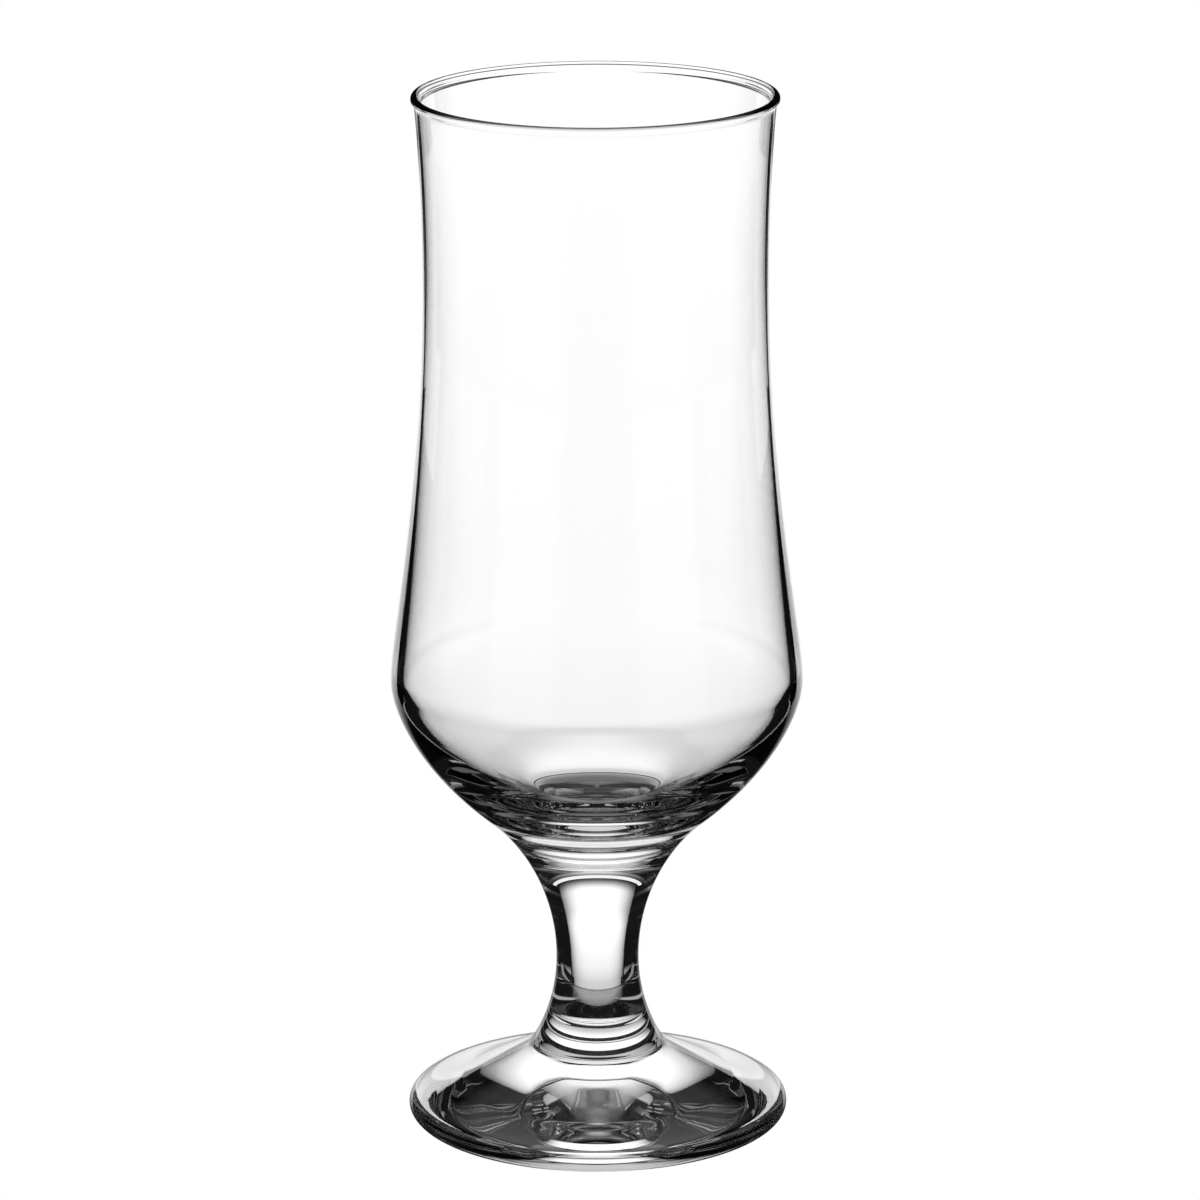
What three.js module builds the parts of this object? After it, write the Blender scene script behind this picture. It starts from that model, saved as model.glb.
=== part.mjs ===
// Footed beer glass in clear soda-lime glass: a tall waisted bowl, a solid drawn-in stem and a
// pressed foot, fused to each other at two rings. Millimetres, +Z up. The origin is the centre of
// the flat ring that the foot rests on.
import * as THREE from "three";

// Foot, levels measured up from the table
const footRadius = 35.2;
const footHeight = 13; // table to the ring where the stem is fused on
const coneRadius = 25.1; // the cone under the stem ends here
const coneLevel = 6.24;
const coneSlope = THREE.MathUtils.degToRad(30.8);
const footEdgeThickness = 3.6; // the outer edge is a full round of this height
const restRingWidth = 12.1; // flat ring that touches the table, just inside the round of the edge
const hollowDepth = 1.6; // rise of the underside at its centre

// Stem, levels measured up from the foot
const stemLength = 40; // between its two fused rings
const stemFootRadius = 12.5; // ring shared with the foot
const neckLevel = 17; // narrowest place
const neckRadius = 7.6;

// Bowl, levels measured up from the stem
const bowlHeight = 139;
const collarLevel = 4.4; // fine ring line where the stem's flare ends on the bowl's base
const collarRadius = 20;
const shoulderLevel = 30.5; // widest place
const shoulderRadius = 37.7;
const waistLevel = 107; // narrowest place
const waistRadius = 31.2;
const waistWall = 1.12;
const lipRadius = 32.35; // outside of the wall just under the rim bead
const lipWall = 1.2;
const rimRadius = 33; // outside of the fire-polished rim bead
const rimThickness = 1.5; // the bead's top is a half round of this width
const rimBeadHeight = 2.2; // top of the rim down to where the bead runs out in the wall
const insideShoulderLevel = 32.05; // widest place of the inside
const shoulderWall = 2.17;
const insideStepLevel = 11.32; // the sloping inside flattens to a step here, over the pit of its floor
const insideStepRadius = 20.73;
const insideStepSlope = THREE.MathUtils.degToRad(24.6);
const floorThickness = 3; // glass between the stem and the lowest point of the inside

// Fullness of each free curve: how far its end tangents reach, as a share of the curve's own span
const baseReach = new THREE.Vector2(0.76, 0.41); // bowl's base, out from the collar
const shoulderReachDown = 0.18;
const shoulderReachUp = 0.12;
const waistReachDown = 0.53;
const waistReachUp = 0.64;
const beadReach = 0.5;
const insideWaistReachDown = 0.366;
const insideShoulderReachUp = 0.0655;
const insideShoulderReachDown = 0.491;
const insideStepReachUp = 0.0945;
const insideStepReachDown = 0.636;
const insideFloorReach = 0.921; // floor of the bowl, out from the axis
const footRingReach = 0.061; // foot's cone, out from the stem ring
const coneReachIn = 0.186;
const coneReachOut = 0.065;
const footTopReach = 0.32; // foot's top, in from the edge
const footTopFall = 0.047; // drop per millimetre of radius where the top runs into the edge
const hollowReach = new THREE.Vector2(0.947, 0.423); // at the resting ring, and at the centre

const segments = 64; // flats round each revolved body

const at = (radius, level) => new THREE.Vector2(radius, level);

// A curve that leaves its first point and reaches its last along the axis, as walls do at the
// bowl's widest and narrowest places
function wallCurve(from, to, fromReach, toReach) {
  const rise = to.y - from.y;
  return new THREE.CubicBezierCurve(
    from,
    at(from.x, from.y + rise * fromReach),
    at(to.x, to.y - rise * toReach),
    to,
  );
}

// Part of the arc that stands upright at the neck and passes through a ring above or below it,
// from one level up to another
function neckArc(ringRadius, ringLevel, fromLevel, toLevel) {
  const flare = ringRadius - neckRadius;
  const run = ringLevel - neckLevel;
  const arcRadius = (run ** 2 + flare ** 2) / (2 * flare);
  const turn = (level) => Math.PI - Math.asin((level - neckLevel) / arcRadius);
  return new THREE.EllipseCurve(
    neckRadius + arcRadius,
    neckLevel,
    arcRadius,
    arcRadius,
    turn(fromLevel),
    turn(toLevel),
    true,
  );
}

// The stem's upper flare runs over the fused ring and ends at the collar on the bowl's base
function upperFlare(fromLevel, toLevel) {
  return neckArc(collarRadius, stemLength + collarLevel, fromLevel, toLevel);
}

// Samples curves one after another, each point once
function outline(...stretches) {
  const points = [];
  for (const [curve, steps] of stretches) {
    for (const point of curve.getPoints(steps)) {
      const last = points.at(-1);
      if (!last || last.distanceTo(point) > 1e-6) points.push(point);
    }
  }
  return points;
}

// Turns a closed half section about the upright axis
function turnedBody(name, section, level, surface) {
  const geometry = new THREE.LatheGeometry(section, segments);
  geometry.rotateX(Math.PI / 2);
  const mesh = new THREE.Mesh(geometry, new THREE.MeshStandardMaterial(surface));
  mesh.name = name;
  mesh.position.z = level;
  return mesh;
}

// Bowl: pressed and blown in one piece, with a thick base and a thin wall that ends in a bead
function bowlSection() {
  const top = bowlHeight - rimThickness / 2;
  const beadFoot = bowlHeight - rimBeadHeight;
  const collar = at(collarRadius, collarLevel);
  const shoulder = at(shoulderRadius, shoulderLevel);
  const waist = at(waistRadius, waistLevel);
  const lip = at(lipRadius, beadFoot);
  const rimOutside = at(rimRadius, top);
  const rimInside = at(rimRadius - rimThickness, top);
  const insideLip = at(lipRadius - lipWall, beadFoot);
  const insideWaist = at(waistRadius - waistWall, waistLevel);
  const insideShoulder = at(shoulderRadius - shoulderWall, insideShoulderLevel);
  const insideStep = at(insideStepRadius, insideStepLevel);
  const insideFloor = at(0, floorThickness);

  const flareEnd = upperFlare(stemLength, stemLength + collarLevel);
  flareEnd.aY -= stemLength; // from the stem's levels to the bowl's
  const base = new THREE.CubicBezierCurve(
    collar,
    collar.clone().add(shoulder.clone().sub(collar).multiply(baseReach)),
    at(shoulder.x, shoulder.y - (shoulder.y - collar.y) * shoulderReachDown),
    shoulder,
  );
  const crown = new THREE.EllipseCurve(
    rimRadius - rimThickness / 2,
    top,
    rimThickness / 2,
    rimThickness / 2,
    0,
    Math.PI,
  );
  const stepWay = at(Math.cos(insideStepSlope), Math.sin(insideStepSlope)); // up and out
  const insideDrop = insideShoulder.y - insideStep.y;
  const insideSlant = insideShoulder.distanceTo(insideStep);
  const insideBase = new THREE.CubicBezierCurve(
    insideShoulder,
    at(insideShoulder.x, insideShoulder.y - insideDrop * insideShoulderReachDown),
    insideStep.clone().addScaledVector(stepWay, insideSlant * insideStepReachUp),
    insideStep,
  );
  const bottom = new THREE.CubicBezierCurve(
    insideStep,
    insideStep.clone().addScaledVector(stepWay, -insideStep.x * insideStepReachDown),
    at(insideStep.x * insideFloorReach, insideFloor.y),
    insideFloor,
  );
  return outline(
    [new THREE.LineCurve(at(0, 0), flareEnd.getPoint(0)), 1],
    [flareEnd, 2],
    [base, 9],
    [wallCurve(shoulder, waist, shoulderReachUp, waistReachDown), 10],
    [wallCurve(waist, lip, waistReachUp, 0), 5],
    [wallCurve(lip, rimOutside, beadReach, beadReach), 3],
    [crown, 6],
    [wallCurve(rimInside, insideLip, beadReach, beadReach), 3],
    [wallCurve(insideLip, insideWaist, 0, waistReachUp), 5],
    [wallCurve(insideWaist, insideShoulder, insideWaistReachDown, insideShoulderReachUp), 9],
    [insideBase, 7],
    [bottom, 11],
  );
}

// Stem: solid glass, drawn in to a neck between two flared ends
function stemSection() {
  const upper = upperFlare(neckLevel, stemLength);
  return outline(
    [new THREE.LineCurve(at(0, 0), at(stemFootRadius, 0)), 1],
    [neckArc(stemFootRadius, 0, 0, neckLevel), 6],
    [upper, 8],
    [new THREE.LineCurve(upper.getPoint(1), at(0, stemLength)), 1],
  );
}

// Foot: pressed disc with a cone under the stem, a top that turns from it to a nearly flat brim
// with a rounded edge, and a flat underside that is hollowed in the middle
function footSection() {
  const edge = footEdgeThickness / 2;
  const edgeCentre = footRadius - edge;
  const ring = at(stemFootRadius, footHeight);
  const coneEnd = at(coneRadius, coneLevel);
  const coneWay = at(Math.cos(coneSlope), -Math.sin(coneSlope)); // out and down
  const flareWay = neckArc(stemFootRadius, 0, 0, neckLevel).getTangent(0).negate();
  const edgeTurn = Math.atan(footTopFall); // the edge's round starts where the top is this steep
  const edgeTop = at(edgeCentre + edge * Math.sin(edgeTurn), edge + edge * Math.cos(edgeTurn));
  const restInside = at(edgeCentre - restRingWidth, 0);
  const coneRun = coneEnd.x - ring.x;
  const topRun = edgeTop.x - coneEnd.x;

  const top = new THREE.CubicBezierCurve(
    edgeTop,
    edgeTop.clone().addScaledVector(at(-1, footTopFall), topRun * footTopReach),
    coneEnd.clone().addScaledVector(coneWay, topRun * coneReachOut),
    coneEnd,
  );
  const cone = new THREE.CubicBezierCurve(
    coneEnd,
    coneEnd.clone().addScaledVector(coneWay, -coneRun * coneReachIn),
    ring.clone().addScaledVector(flareWay, coneRun * footRingReach),
    ring,
  );
  const round = new THREE.EllipseCurve(
    edgeCentre,
    edge,
    edge,
    edge,
    -Math.PI / 2,
    Math.PI / 2 - edgeTurn,
  );
  const hollow = new THREE.CubicBezierCurve(
    at(0, hollowDepth),
    at(restInside.x * hollowReach.y, hollowDepth),
    at(restInside.x * (1 - hollowReach.x), hollowDepth * hollowReach.x),
    restInside,
  );
  return outline(
    [hollow, 7],
    [new THREE.LineCurve(restInside, at(edgeCentre, 0)), 1],
    [round, 7],
    [top, 7],
    [cone, 6],
    [new THREE.LineCurve(ring, at(0, footHeight)), 1],
  );
}

const clearGlass = { roughness: 0.03, metalness: 0, transparent: true, opacity: 0.35 };

const glass = new THREE.Group();
glass.add(
  turnedBody("foot", footSection(), 0, { ...clearGlass, color: 0xe6eae8 }),
  turnedBody("stem", stemSection(), footHeight, { ...clearGlass, color: 0xeaedec }),
  turnedBody("bowl", bowlSection(), footHeight + stemLength, { ...clearGlass, color: 0xf2f4f4 }),
);

export default glass;
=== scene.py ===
import math

import bpy
from mathutils import Euler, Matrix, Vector


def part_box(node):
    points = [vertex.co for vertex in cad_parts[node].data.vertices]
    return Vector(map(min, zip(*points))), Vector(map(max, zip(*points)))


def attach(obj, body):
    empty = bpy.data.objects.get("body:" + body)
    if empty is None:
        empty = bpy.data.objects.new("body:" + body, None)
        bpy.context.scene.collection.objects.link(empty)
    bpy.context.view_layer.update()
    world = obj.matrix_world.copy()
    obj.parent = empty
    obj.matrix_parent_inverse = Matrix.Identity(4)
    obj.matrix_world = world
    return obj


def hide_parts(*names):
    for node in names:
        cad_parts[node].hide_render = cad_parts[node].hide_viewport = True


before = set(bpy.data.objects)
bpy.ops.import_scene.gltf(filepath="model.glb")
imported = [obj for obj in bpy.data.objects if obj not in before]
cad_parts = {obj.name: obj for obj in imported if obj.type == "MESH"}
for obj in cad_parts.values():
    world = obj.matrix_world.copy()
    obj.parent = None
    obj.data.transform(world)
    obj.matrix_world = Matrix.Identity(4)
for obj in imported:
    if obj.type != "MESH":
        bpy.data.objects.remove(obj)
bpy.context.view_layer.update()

scene = bpy.context.scene

# Camera: a long lens a metre away, looking a little down into the mouth of the glass, as in the
# photograph. The glass stands a hair right of the lens axis and leans by a fraction of a degree.
camera_distance = 1.0426
camera_height = 0.3871
camera_pitch = math.radians(15.483)
camera_roll = math.radians(-0.14)
camera_pan = math.radians(-0.034)
photo_width = 1200
focal_pixels = 5929.5
camera_data = bpy.data.cameras.new("photo_camera")
camera_data.sensor_width = 36
camera_data.lens = camera_data.sensor_width * focal_pixels / photo_width
camera = bpy.data.objects.new("photo_camera", camera_data)
camera.location = (0, -camera_distance, camera_height)
look = Euler((math.pi / 2 - camera_pitch, 0, camera_pan)).to_matrix()
camera.rotation_euler = (look @ Euler((0, 0, camera_roll)).to_matrix()).to_euler()
scene.collection.objects.link(camera)
scene.camera = camera


# Studio: a white sweep that runs under the glass and up behind it, and a soft box overhead. Black
# cards stand beside the glass just out of the picture: they draw the dark lines down its edges.
# White walls and sheets stand round the sides, so that the glass is lit as clearly from there.
def linear(hex_colour):
    """sRGB hex to the linear colour that shaders take."""
    channels = [int(hex_colour[i:i + 2], 16) / 255 for i in (1, 3, 5)]
    return (*(c / 12.92 if c <= 0.04045 else ((c + 0.055) / 1.055) ** 2.4 for c in channels), 1.0)


def add_node(tree, kind, inputs=(), **settings):
    """Adds a node with its settings. Its inputs, by name or number or in order, take a value, a
    socket, or a node, which stands for its first output."""
    made = tree.nodes.new(kind)
    for name, value in settings.items():
        setattr(made, name, value)
    for place, value in inputs.items() if isinstance(inputs, dict) else enumerate(inputs):
        if isinstance(value, bpy.types.Node):
            value = value.outputs[0]
        if isinstance(value, bpy.types.NodeSocket):
            tree.links.new(value, made.inputs[place])
        else:
            made.inputs[place].default_value = value
    return made


def light_by_place(tree, place, span, stops):
    """Light level by place, straight between the stops (place, level), which lie in the span."""
    low, high = span
    share = add_node(tree, "ShaderNodeMapRange", {
        "Value": place, "From Min": low, "From Max": high})
    ramp = add_node(tree, "ShaderNodeValToRGB", (share,))
    elements = ramp.color_ramp.elements
    while len(elements) < len(stops):
        elements.new(1.0)
    for element, (spot, level) in zip(elements, stops):
        element.position = (spot - low) / (high - low)
        element.color = (level, level, level, 1)
    return ramp


def light_by_angle(tree, angle, stops):
    """Light level by an angle in radians, straight between the stops (degrees, level)."""
    return light_by_place(tree, angle, (-math.pi, math.pi), [
        (math.radians(degrees), level) for degrees, level in stops])


def light_between(tree, angle, lowest, highest, margin):
    """1 between two angles, falling straight to 0 over the margin outside them, all in degrees."""
    return light_by_angle(tree, angle, [
        (lowest - margin, 0), (lowest, 1), (highest, 1), (highest + margin, 0)])


def share_thrown_back(tree, path, times, share):
    """1, or the share for rays that were thrown back inside the glass so many times or more."""
    thrown = add_node(tree, "ShaderNodeMath", (path["Glossy Depth"], times - 0.5),
                      operation="GREATER_THAN")
    inside = add_node(tree, "ShaderNodeMath", (path["Transmission Depth"], 0.5),
                      operation="GREATER_THAN")
    both = add_node(tree, "ShaderNodeMath", (thrown, inside), operation="MULTIPLY")
    return add_node(tree, "ShaderNodeMath", (both, share - 1, 1), operation="MULTIPLY_ADD")


room_white = 1.15
# Black level of the room and of the cards, and also of the painted floor shade behind the foot
black_level = linear("#141414")[0]
world = bpy.data.worlds.new("white_room_with_overhead_soft_box")
world.use_nodes = True
sky = world.node_tree
sky.nodes.clear()
direction = add_node(sky, "ShaderNodeTexCoord").outputs["Generated"]
axes = add_node(sky, "ShaderNodeSeparateXYZ", (direction,)).outputs
rays = add_node(sky, "ShaderNodeLightPath").outputs
sideways = add_node(sky, "ShaderNodeMath", (axes["X"],), operation="ABSOLUTE")
bearing = add_node(sky, "ShaderNodeMath", (sideways, axes["Y"]), operation="ARCTAN2")
rise = add_node(sky, "ShaderNodeMath", (axes["Z"],), operation="ARCSINE")

# Soft box, by how far to the side and behind a ray meets it, as shares of its height
least_climb = 0.0001
upwards = add_node(sky, "ShaderNodeMath", (axes["Z"], least_climb), operation="MAXIMUM")
box_side = add_node(sky, "ShaderNodeMath", (sideways, upwards), operation="DIVIDE")
box_behind = add_node(sky, "ShaderNodeMath", (axes["Y"], upwards), operation="DIVIDE")
box_across = light_by_place(sky, box_side, (0, 1.5), [
    (0.2, 1.0), (0.42, 0.6), (0.6, 0.4), (1.0, 0.1), (1.5, 0.0)])
box_along = light_by_place(sky, box_behind, (-0.3, 1.75), [
    (-0.3, 0.03), (0.0, 0.06), (0.15, 0.11), (0.3, 0.32), (0.5, 0.7), (0.7, 1.0), (1.1, 1.0),
    (1.3, 0.6), (1.6, 0.15), (1.75, 0.0)])
soft_box = add_node(sky, "ShaderNodeMath", (box_across, box_along), operation="MULTIPLY")

# White room that shows through the hollow bowl. Its back wall is lit a little more to both sides
# of the glass. Each side wall has the bearing of its middle, half its width and its light by rise.
back_across = light_by_angle(sky, bearing, [(30, 1.0), (38, 0.3), (45, 0.0)])
back_upright = light_by_angle(sky, rise, [
    (-60, 0.14), (-50, 0.22), (-45, 0.4), (-40, 0.58), (-34, 0.68), (-30, 0.74), (-25, 0.88),
    (-22, 0.94), (-18, 0.985), (-14, 1.0), (4, 1.0), (12, 0.85), (22, 0.3), (30, 0.0)])
lift_across = light_by_angle(sky, bearing, [
    (2, 0.0), (4, 0.1), (7, 0.22), (12, 0.3), (17, 0.2), (32, 0.0)])
lift_upright = light_by_angle(sky, rise, [
    (-22, 0.0), (-17, 0.25), (-15, 0.6), (-13, 0.9), (-8, 1.0), (-6, 0.0)])
lift = add_node(sky, "ShaderNodeMath", (lift_across, lift_upright, 1), operation="MULTIPLY_ADD")
room = add_node(sky, "ShaderNodeMath", (back_across, back_upright), operation="MULTIPLY")
room = add_node(sky, "ShaderNodeMath", (room, lift), operation="MULTIPLY")
side_wall_margin = 6
for middle, half, stops in [
        (45, 14, [(-35, 0.0), (-31, 1.0), (-24, 1.0), (-18.5, 0.8), (-16.5, 0.0)]),
        (90, 20, [(-42, 0.0), (-34, 0.3), (-14, 0.4), (-8, 1.0), (4, 1.0), (7, 0.0)]),
        (135, 20, [(-52, 0.0), (-44, 0.3), (-28, 0.5), (-22, 1.0), (-8, 1.0), (-5, 0.0)])]:
    side_across = light_between(sky, bearing, middle - half, middle + half, side_wall_margin)
    side_upright = light_by_angle(sky, rise, stops)
    side_wall = add_node(sky, "ShaderNodeMath", (side_across, side_upright), operation="MULTIPLY")
    room = add_node(sky, "ShaderNodeMath", (room, side_wall), operation="MAXIMUM")
bowl_faces = 4
room_thrown_share = 0.3
through_bowl = add_node(sky, "ShaderNodeMath", (rays["Transmission Depth"], bowl_faces - 0.5),
                        operation="GREATER_THAN")
for factor in (through_bowl, room_white, share_thrown_back(sky, rays, 1, room_thrown_share)):
    room = add_node(sky, "ShaderNodeMath", (room, factor), operation="MULTIPLY")
light = add_node(sky, "ShaderNodeMath", (soft_box, room), operation="MAXIMUM")

# White sheets at the sides that show through the two faces of the solid stem and foot: bearing of
# the middle, half the width, lowest and highest rise, light level
solid_faces, faces_allowance = 2, 1.2
sheet_bearing_margin, sheet_rise_margin = 4, 3
through_solid = add_node(sky, "ShaderNodeMath", (
    rays["Transmission Depth"], solid_faces, faces_allowance), operation="COMPARE")
for middle, half, lowest, highest, sheet_glow in [
        (45, 14, -42, -27, 0.3), (90, 11, -8, 3, 0.45), (135, 18, -26, 0, 0.5)]:
    side_sheet = light_between(sky, bearing, middle - half, middle + half, sheet_bearing_margin)
    sheet_upright = light_between(sky, rise, lowest, highest, sheet_rise_margin)
    for factor in (sheet_upright, through_solid, sheet_glow):
        side_sheet = add_node(sky, "ShaderNodeMath", (side_sheet, factor), operation="MULTIPLY")
    light = add_node(sky, "ShaderNodeMath", (light, side_sheet), operation="MAXIMUM")
light = add_node(sky, "ShaderNodeMath", (light, black_level), operation="ADD")

# Past the glass the lens sees plain white
seen = add_node(sky, "ShaderNodeMix", {0: rays["Is Camera Ray"], 2: light, 3: 1.0},
                data_type="FLOAT")
background = add_node(sky, "ShaderNodeBackground", {"Color": seen})
add_node(sky, "ShaderNodeOutputWorld", {"Surface": background})
scene.world = world


def new_paper(name):
    """A material for a sheet of the studio, with nothing in it yet."""
    made = bpy.data.materials.new(name)
    made.use_nodes = True
    made.node_tree.nodes.clear()
    return made


def place_on_sheet(tree):
    """X, Y and Z of the place on a sheet."""
    place = add_node(tree, "ShaderNodeNewGeometry").outputs["Position"]
    return add_node(tree, "ShaderNodeSeparateXYZ", (place,)).outputs


def light_paper(paper, level, fewest_faces=1, most_faces=3):
    """Lets paper glow at the level for rays that have passed from the fewest to the most faces of
    glass, and less if they were thrown back often. Others, as those through the bowl, go by."""
    tree = paper.node_tree
    path = add_node(tree, "ShaderNodeLightPath").outputs
    often, thrown_share = 3, 0.15
    left_over = share_thrown_back(tree, path, often, thrown_share)
    level = add_node(tree, "ShaderNodeMath", (level, left_over), operation="MULTIPLY")
    glow = add_node(tree, "ShaderNodeEmission", {"Color": level, "Strength": 1.0})
    clear = add_node(tree, "ShaderNodeBsdfTransparent")
    too_few = add_node(tree, "ShaderNodeMath", (path["Transmission Depth"], fewest_faces - 0.5),
                       operation="LESS_THAN")
    too_many = add_node(tree, "ShaderNodeMath", (path["Transmission Depth"], most_faces + 0.5),
                        operation="GREATER_THAN")
    passing = add_node(tree, "ShaderNodeMath", (too_few, too_many), operation="MAXIMUM")
    surface = add_node(tree, "ShaderNodeMixShader", (passing, glow, clear))
    add_node(tree, "ShaderNodeOutputMaterial", {"Surface": surface})


def place_sheet(name, corners, paper):
    """A flat sheet of the studio."""
    mesh = bpy.data.meshes.new(name)
    mesh.from_pydata(corners, [], [(0, 1, 2, 3)])
    mesh.materials.append(paper)
    sheet = bpy.data.objects.new(name, mesh)
    scene.collection.objects.link(sheet)
    return sheet


def stand_sheet(name, left, right, bottom, top, paper):
    """An upright sheet between two places on the floor, which only the glass shows."""
    corners = [(*left, bottom), (*right, bottom), (*right, top), (*left, top)]
    sheet = place_sheet(name, corners, paper)
    sheet.visible_camera = False


def stand_round(name, radius, first, last, bottom, top, paper):
    """An upright sheet between two bearings, in degrees round the glass from straight behind it."""
    left, right = ((radius * math.sin(turn), radius * math.cos(turn))
                   for turn in (math.radians(first), math.radians(last)))
    stand_sheet(name, left, right, bottom, top, paper)


# Floor: the glass stands on it and shows nothing of it, so that its underside stays dark
floor_half = 4.0
floor_level = -0.0002
floor_paper = new_paper("white_paper_lit_to_clear_white")
floor_glow = add_node(floor_paper.node_tree, "ShaderNodeEmission", {"Color": linear("#ffffff")})
add_node(floor_paper.node_tree, "ShaderNodeOutputMaterial", {"Surface": floor_glow})
floor = place_sheet("sweep_floor", [(x * floor_half, y * floor_half, floor_level) for x, y in (
    (-1, -1), (1, -1), (1, 1), (-1, 1))], floor_paper)
floor.visible_transmission = False
floor.visible_glossy = False

# Panel close behind the glass, lit from its back: it fills the stem and the foot. Its light spreads
# wider below panel_low than above panel_high.
panel_distance = 0.2
panel_half = 0.125
panel_bottom = -0.28
panel_top = 0.145
panel_low = 0.02
panel_high = 0.05
panel_glow = 1.3
panel_span = (panel_bottom, panel_top)
panel_paper = new_paper("back_lit_white_paper")
panel_tree = panel_paper.node_tree
panel_place = place_on_sheet(panel_tree)
panel_side = add_node(panel_tree, "ShaderNodeMath", (panel_place["X"],), operation="ABSOLUTE")
across_low = light_by_place(panel_tree, panel_side, (0, panel_half), [
    (0.04, 1.0), (0.06, 0.93), (0.078, 0.8), (0.092, 0.6), (0.103, 0.42), (0.112, 0.2),
    (0.118, 0.0)])
across_high = light_by_place(panel_tree, panel_side, (0, panel_half), [
    (0.036, 1.0), (0.055, 0.84), (0.075, 0.62), (0.092, 0.38), (0.11, 0.17), (0.118, 0.0)])
high_share = light_by_place(panel_tree, panel_place["Z"], panel_span, [
    (panel_low, 0.0), (panel_high, 1.0)])
panel_level = add_node(panel_tree, "ShaderNodeMix", {0: high_share, 2: across_low, 3: across_high},
                       data_type="FLOAT")
panel_upright = light_by_place(panel_tree, panel_place["Z"], panel_span, [
    (-0.197, 0.46), (-0.093, 0.54), (-0.061, 0.72), (-0.029, 0.82), (-0.003, 0.92), (0.024, 1.0),
    (0.096, 1.0), (0.108, 0.7), (0.12, 0.35), (0.132, 0.12), (0.144, 0.02)])
for factor in (panel_upright, panel_glow):
    panel_level = add_node(panel_tree, "ShaderNodeMath", (panel_level, factor),
                           operation="MULTIPLY")
light_paper(panel_paper, panel_level)
stand_sheet("lit_panel", (-panel_half, panel_distance), (panel_half, panel_distance),
            panel_bottom, panel_top, panel_paper)

# Back wall that the outside of the glass mirrors: the higher, the narrower
wall_distance = 0.4
wall_half = 0.32
wall_bottom = -0.15
wall_top = 0.1
wall_span = (wall_bottom, wall_top)
wall_paper = new_paper("white_paper_on_the_back_wall")
wall_tree = wall_paper.node_tree
wall_place = place_on_sheet(wall_tree)
wall_side = add_node(wall_tree, "ShaderNodeMath", (wall_place["X"],), operation="ABSOLUTE")
wall_reach = light_by_place(wall_tree, wall_place["Z"], wall_span, [
    (wall_bottom, 0.31), (-0.013, 0.275), (0.03, 0.215), (0.05, 0.19), (0.066, 0.165),
    (wall_top, 0.165)])
wall_upright = light_by_place(wall_tree, wall_place["Z"], wall_span, [
    (wall_bottom, 0.0), (-0.09, 0.5), (-0.02, room_white), (0.09, room_white), (wall_top, 0.0)])
wall_lit = add_node(wall_tree, "ShaderNodeMath", (wall_side, wall_reach), operation="LESS_THAN")
wall_level = add_node(wall_tree, "ShaderNodeMath", (wall_lit, wall_upright), operation="MULTIPLY")
light_paper(wall_paper, wall_level, fewest_faces=0, most_faces=0)
stand_sheet("back_wall", (-wall_half, wall_distance), (wall_half, wall_distance),
            wall_bottom, wall_top, wall_paper)

# Wall above it that shows through the mouth of the glass, and a ring of sheets round the rim
mouth_top = 0.3
mouth_glow = 1.1
mouth_paper = new_paper("white_paper_behind_the_mouth")
light_paper(mouth_paper, mouth_glow)
stand_sheet("white_wall_behind_the_mouth", (-wall_half, wall_distance), (wall_half, wall_distance),
            wall_top, mouth_top, mouth_paper)
ring_radius = 0.12
ring_bottom = 0.13
ring_top = 0.26
ring_gap = 60
ring_sheets = 12
ring_step = (360 - 2 * ring_gap) / ring_sheets
ring_glow = 0.8
ring_paper = new_paper("white_paper_ring_round_the_rim")
ring_place = place_on_sheet(ring_paper.node_tree)
light_paper(ring_paper, light_by_place(
    ring_paper.node_tree, ring_place["Z"], (ring_bottom, ring_top), [
        (ring_bottom, 0.0), (0.145, 0.25), (0.16, ring_glow), (ring_top, ring_glow)]))
for i in range(ring_sheets):
    ring_turn = ring_gap + i * ring_step
    stand_round("ring_sheet_%02d" % i, ring_radius, ring_turn, ring_turn + ring_step,
                ring_bottom, ring_top, ring_paper)

# Sheets in pairs: white strips on the back wall, white wings before it, black cards beside the
# glass, and low dark strips at floor level behind its foot that paint the shade of the floor round
# the foot, for its underside to show
strip_inner = 0.2
strip_bottom = 0.05
strip_glow = 0.6
strip_paper = new_paper("white_paper_strip")
light_paper(strip_paper, strip_glow)
wing_radius = 0.25
wing_inner = 36
wing_outer = 60
wing_bottom = 0.06
wing_top = 0.13
wing_glow = 0.8
wing_paper = new_paper("white_paper_wing")
light_paper(wing_paper, wing_glow)
card_side = 0.086
card_near = 0.028
card_far = 0.155
card_bottom = -0.02
card_top = 0.11
# Matt black: the cards' own black, and also the painted shade of the floor round the foot on the
# strips behind it
black_card_and_floor_shade = new_paper("matt_black_card_and_painted_floor_shade")
light_paper(black_card_and_floor_shade, black_level)
# Painted floor shade: dark strips sunk to floor level behind the foot, which its underside shows as
# the shade of the floor round it
floor_shade_distance = 0.045
floor_shade_inner = 0.019
floor_shade_outer = 0.045
floor_shade_bottom = -0.009
floor_shade_top = 0
for hand, side in (("left", -1), ("right", 1)):
    stand_sheet("white_strip_" + hand, (side * strip_inner, wall_distance),
                (side * wall_half, wall_distance), strip_bottom, wall_top, strip_paper)
    stand_round("white_wing_" + hand, wing_radius, side * wing_inner, side * wing_outer,
                wing_bottom, wing_top, wing_paper)
    stand_sheet("black_card_and_floor_shade_" + hand, (side * card_side, card_near), (side * card_side, card_far),
                card_bottom, card_top, black_card_and_floor_shade)
    # Painted shade of the floor round the foot, seen only through its underside
    stand_sheet("painted_floor_shade_strip_" + hand, (side * floor_shade_inner, floor_shade_distance),
                (side * floor_shade_outer, floor_shade_distance), floor_shade_bottom, floor_shade_top, black_card_and_floor_shade)

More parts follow.
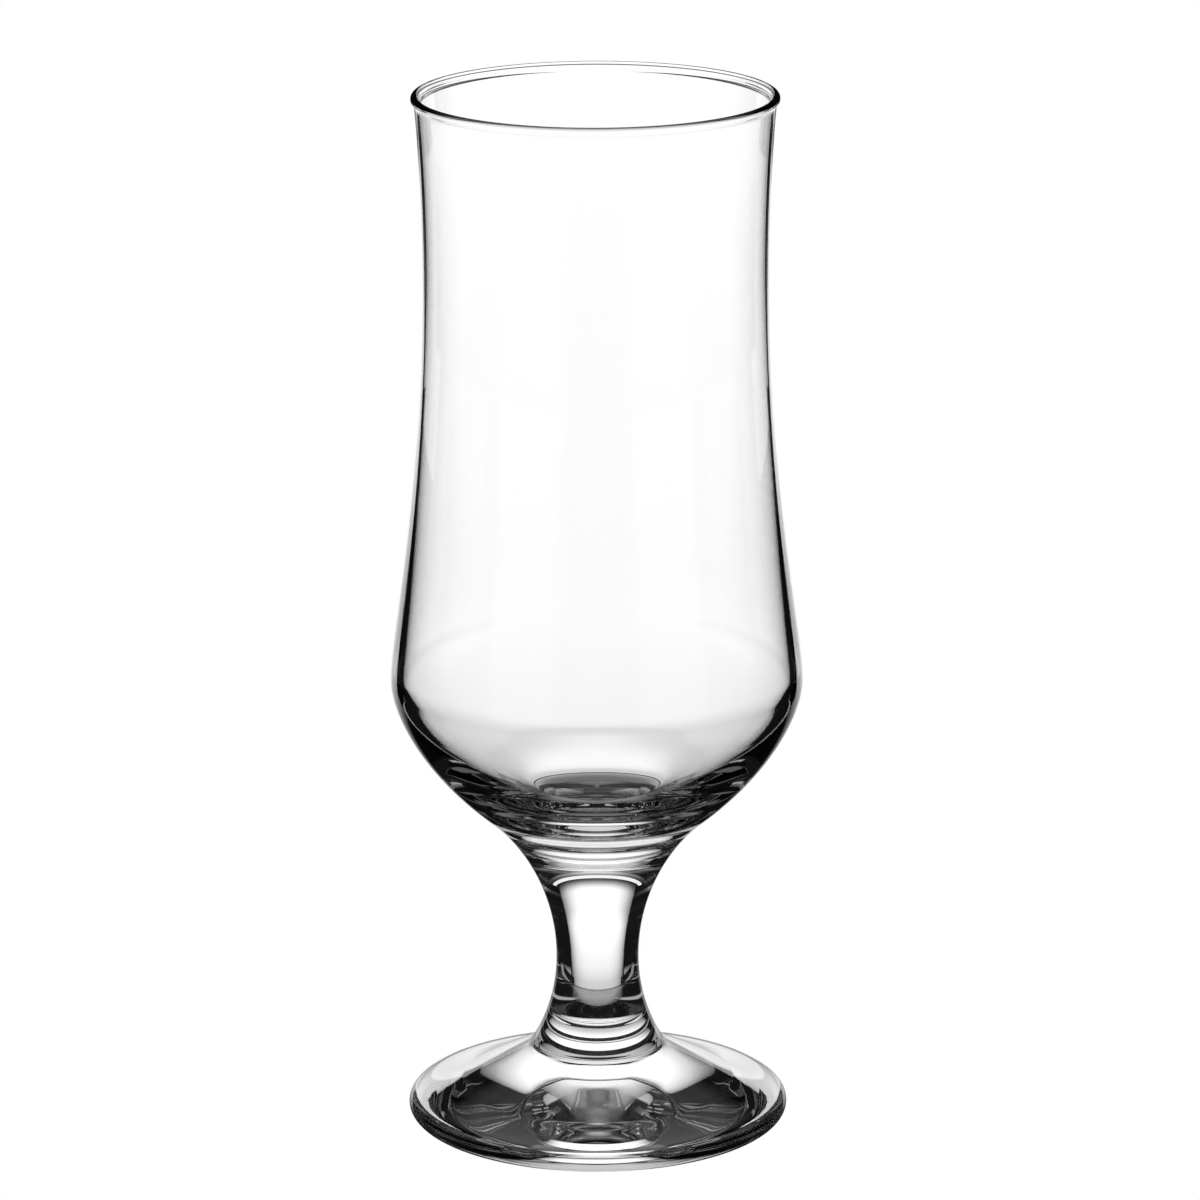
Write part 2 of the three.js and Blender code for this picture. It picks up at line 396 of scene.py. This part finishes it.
scene.view_settings.view_transform = "Standard"
most_bounces = 40
scene.cycles.max_bounces = most_bounces
scene.cycles.transmission_bounces = most_bounces
scene.cycles.transparent_max_bounces = most_bounces
scene.cycles.glossy_bounces = 14

# Bowl: soda-lime glass, pressed and blown in one piece, with a thick base and a wall that thins
# to the waist. The rim is fire-polished to a bead, and the base is fused hot to the stem. Sizes
# are in millimetres, and each reach is how far a curve's end tangent goes, as a share of its span.
MM = 0.001
foot_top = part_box("foot")[1].z / MM
stem_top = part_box("stem")[1].z / MM
bowl_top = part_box("bowl")[1].z / MM
shoulder_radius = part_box("bowl")[1].x / MM
neck_level = foot_top + 17
neck_radius = 7.6
collar_level = foot_top + 44.4
collar_radius = 20.0
shoulder_level = collar_level + 26.1
waist_level = collar_level + 102.6
waist_radius = 31.2
waist_wall = 1.12
lip_radius = 32.35
lip_wall = 1.2
rim_radius = 33.0
rim_thickness = 1.5
rim_bead_height = 2.2
base_reach_out = 0.76
base_reach_up = 0.41
shoulder_reach_down = 0.18
shoulder_reach_up = 0.12
waist_reach_down = 0.53
waist_reach_up = 0.64
bead_reach = 0.5
inside_shoulder_level = collar_level + 27.65
inside_shoulder_wall = 2.17
inside_waist_reach_down = 0.366
inside_shoulder_reach_up = 0.066
inside_shoulder_reach_down = 0.491
inside_step_radius = 20.73
inside_step_level = collar_level + 6.92
inside_step_slope = 0.430  # radians
inside_step_reach_up = 0.095
inside_step_reach_down = 0.636
inside_floor_level = collar_level - 1.40
inside_floor_reach = 0.921
facets = 256


def free_curve(start, start_reach, end_reach, end, steps):
    """Points of a cubic curve from start up to, but not including, end."""
    points = []
    for i in range(steps):
        t = i / steps
        points.append((1 - t) ** 3 * start + 3 * (1 - t) ** 2 * t * start_reach
                      + 3 * (1 - t) * t * t * end_reach + t ** 3 * end)
    return points


def wall_curve(start, end, start_share, end_share, steps):
    """A curve that leaves and arrives upright, as the wall does at its widest and narrowest."""
    climb = Vector((0, end.y - start.y))
    return free_curve(start, start + climb * start_share, end - climb * end_share, end, steps)


def round_curve(centre, radius, first, last, steps):
    """Points of an arc about centre, from the first angle up to, but not including, the last."""
    return [centre + radius * Vector((math.cos(a), math.sin(a)))
            for a in (first + (last - first) * i / steps for i in range(steps))]


def flare_curve(end_radius, end_level, first_level, last_level, steps):
    """Part, between two levels, of the arc that is upright at the neck and passes a flare's end."""
    flare = end_radius - neck_radius
    run = end_level - neck_level
    radius = (run * run + flare * flare) / (2 * flare)
    first, last = (math.pi - math.asin((level - neck_level) / radius)
                   for level in (first_level, last_level))
    centre = Vector((neck_radius + radius, neck_level))
    return round_curve(centre, radius, first, last, steps)


def turn_glass(name, section, fused, materials):
    """Turns a half section (radius, height in mm) about the upright axis into one closed mesh. The
    section starts and ends on the axis; fused holds the stretches that are fused to a neighbour,
    which take the second material."""
    vertices = []
    rings = []
    for point in section:
        if point.x < 1e-6:
            rings.append([len(vertices)] * facets)
            vertices.append((0, 0, point.y * MM))
            continue
        rings.append(range(len(vertices), len(vertices) + facets))
        for i in range(facets):
            angle = 2 * math.pi * i / facets
            vertices.append((point.x * MM * math.cos(angle), point.x * MM * math.sin(angle),
                             point.y * MM))
    faces = []
    joint = []
    for stretch, (low, high) in enumerate(zip(rings, rings[1:])):
        for i in range(facets):
            j = (i + 1) % facets
            faces.append(list(dict.fromkeys((low[i], low[j], high[j], high[i]))))
            joint.append(stretch in fused)
    mesh = bpy.data.meshes.new(name)
    mesh.from_pydata(vertices, [], faces)
    for material in materials:
        mesh.materials.append(material)
    mesh.polygons.foreach_set("use_smooth", [not is_joint for is_joint in joint])
    mesh.polygons.foreach_set("material_index", [int(is_joint) for is_joint in joint])
    made = bpy.data.objects.new(name, mesh)
    scene.collection.objects.link(made)
    return made


shoulder = Vector((shoulder_radius, shoulder_level))
collar = Vector((collar_radius, collar_level))
waist = Vector((waist_radius, waist_level))
lip = Vector((lip_radius, bowl_top - rim_bead_height))
rim_outside = Vector((rim_radius, bowl_top - rim_thickness / 2))
rim_inside = rim_outside - Vector((rim_thickness, 0))
inside_lip = lip - Vector((lip_wall, 0))
inside_waist = waist - Vector((waist_wall, 0))
inside_shoulder = Vector((shoulder_radius - inside_shoulder_wall, inside_shoulder_level))
inside_step = Vector((inside_step_radius, inside_step_level))
inside_floor = Vector((0, inside_floor_level))
step_way = Vector((math.cos(inside_step_slope), math.sin(inside_step_slope)))
base_run = shoulder - collar
inside_run = inside_shoulder - inside_step
bowl_section = [
    Vector((0, stem_top)),
    *flare_curve(collar_radius, collar_level, stem_top, collar_level, 8),
    *free_curve(collar, collar + Vector((base_reach_out * base_run.x, base_reach_up * base_run.y)),
                shoulder - Vector((0, shoulder_reach_down * base_run.y)), shoulder, 36),
    *wall_curve(shoulder, waist, shoulder_reach_up, waist_reach_down, 40),
    *wall_curve(waist, lip, waist_reach_up, 0, 14),
    *wall_curve(lip, rim_outside, bead_reach, bead_reach, 10),
    *round_curve((rim_outside + rim_inside) / 2, rim_thickness / 2, 0, math.pi, 16),
    *wall_curve(rim_inside, inside_lip, bead_reach, bead_reach, 10),
    *wall_curve(inside_lip, inside_waist, 0, waist_reach_up, 14),
    *wall_curve(inside_waist, inside_shoulder,
                inside_waist_reach_down, inside_shoulder_reach_up, 40),
    *free_curve(inside_shoulder,
                inside_shoulder - Vector((0, inside_shoulder_reach_down * inside_run.y)),
                inside_step + inside_step_reach_up * inside_run.length * step_way,
                inside_step, 30),
    *free_curve(inside_step,
                inside_step - inside_step_reach_down * inside_step_radius * step_way,
                Vector((inside_floor_reach * inside_step_radius, inside_floor_level)),
                inside_floor, 30),
    inside_floor,
]


def clear_glass(name, wave, height, distortion, levels):
    """Clear soda-lime glass whose surface keeps faint waves: their lengths in X, Y and Z, their
    height, and the two levels between which they grow from nothing to it, all in millimetres."""
    made = bpy.data.materials.new(name)
    made.use_nodes = True
    tree = made.node_tree
    place = add_node(tree, "ShaderNodeTexCoord").outputs["Object"]
    stretched = add_node(tree, "ShaderNodeMapping", {
        "Vector": place, "Scale": [1 / (length * MM) for length in wave]})
    waves = add_node(tree, "ShaderNodeTexNoise", {
        "Vector": stretched, "Scale": 1.0, "Detail": 1.0, "Distortion": distortion})
    level = add_node(tree, "ShaderNodeSeparateXYZ", (place,)).outputs["Z"]
    growth = add_node(tree, "ShaderNodeMapRange", {
        "Value": level, "From Min": levels[0] * MM, "From Max": levels[1] * MM})
    ripple = add_node(tree, "ShaderNodeMath", (waves, growth), operation="MULTIPLY")
    relief = add_node(tree, "ShaderNodeBump", {
        "Strength": 1.0, "Distance": height * MM, "Height": ripple})
    shader = tree.nodes["Principled BSDF"]
    shader.inputs["Base Color"].default_value = linear("#ffffff")
    shader.inputs["Roughness"].default_value = 0.0
    shader.inputs["IOR"].default_value = 1.52
    shader.inputs["Transmission Weight"].default_value = 1.0
    tree.links.new(relief.outputs[0], shader.inputs["Normal"])
    return made


# Fire-polished glass: mirror-smooth, with the long faint waves that a blown and drawn wall keeps
# above the thick base, so that reflections waver a little along the wall
polished_glass = clear_glass("fire_polished_soda_lime_glass", (12, 12, 60), 0.004, 0.0, (85, 130))

# Fused joint: the glass runs through it, so the meeting faces show nothing
fused_glass = bpy.data.materials.new("fused_glass_joint")
fused_glass.use_nodes = True
fused_glass.node_tree.nodes["Principled BSDF"].inputs["Alpha"].default_value = 0.0

bowl_joint = {0}
bowl = turn_glass("bowl_glass", bowl_section, bowl_joint, [polished_glass, fused_glass])
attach(bowl, "root")
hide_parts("bowl")

# Stem: solid soda-lime glass, drawn in to a neck between two flared ends while hot, and fused to
# the bowl above and to the foot below.
foot_ring_radius = 12.5
stem_section = [
    Vector((0, foot_top)),
    *flare_curve(foot_ring_radius, foot_top, foot_top, neck_level, 24),
    *flare_curve(collar_radius, collar_level, neck_level, stem_top, 36),
    flare_curve(collar_radius, collar_level, stem_top, collar_level, 1)[0],
    Vector((0, stem_top)),
]
stem_joints = {0, len(stem_section) - 2}
stem = turn_glass("stem_glass", stem_section, stem_joints, [polished_glass, fused_glass])
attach(stem, "root")
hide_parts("stem")

# Foot: a soda-lime disc pressed in a mould: a cone under the stem that turns to a flat brim with a
# rounded edge. Its underside is flat, with a shallow hollow in the middle.
foot_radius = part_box("foot")[1].x / MM
edge_round = 1.8
rest_ring_width = 12.1
hollow_depth = 1.6
hollow_rest_reach = 0.947
hollow_centre_reach = 0.423
top_fall = 0.047
top_reach = 0.32
cone_radius = 25.1
cone_level = 6.24
cone_slope = math.radians(30.8)
cone_reach_out = 0.065
cone_reach_in = 0.186
foot_ring_reach = 0.061
edge_centre = Vector((foot_radius - edge_round, edge_round))
edge_turn = math.atan(top_fall)
edge_top = edge_centre + edge_round * Vector((math.sin(edge_turn), math.cos(edge_turn)))
rest_inside = Vector((edge_centre.x - rest_ring_width, 0))
foot_ring = Vector((foot_ring_radius, foot_top))
cone_end = Vector((cone_radius, cone_level))
cone_way = Vector((-math.cos(cone_slope), math.sin(cone_slope)))
flare_fine_steps = 400
flare_start, flare_next = flare_curve(
    foot_ring_radius, foot_top, foot_top, neck_level, flare_fine_steps)[:2]
flare_way = (flare_start - flare_next).normalized()
top_run = edge_top.x - cone_radius
cone_run = cone_radius - foot_ring_radius
hollow_flank = Vector(((1 - hollow_rest_reach) * rest_inside.x, hollow_rest_reach * hollow_depth))
foot_section = [
    *free_curve(Vector((0, hollow_depth)),
                Vector((hollow_centre_reach * rest_inside.x, hollow_depth)),
                hollow_flank, rest_inside, 40),
    rest_inside,
    *round_curve(edge_centre, edge_round, -math.pi / 2, math.pi / 2 - edge_turn, 32),
    *free_curve(edge_top, edge_top + top_reach * top_run * Vector((-1, top_fall)),
                cone_end - cone_reach_out * top_run * cone_way, cone_end, 30),
    *free_curve(cone_end, cone_end + cone_reach_in * cone_run * cone_way,
                foot_ring + foot_ring_reach * cone_run * flare_way, foot_ring, 30),
    foot_ring,
    Vector((0, foot_top)),
]

# Pressed glass: the cold mould leaves short chill ripples all over the surface, so that the bands
# of light in the foot are a little uneven
pressed_glass = clear_glass("pressed_soda_lime_glass", (7, 7, 7), 0.012, 0.6, (-2, -1))

foot_joint = {len(foot_section) - 2}
foot = turn_glass("foot_glass", foot_section, foot_joint, [pressed_glass, fused_glass])
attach(foot, "root")
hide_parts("foot")
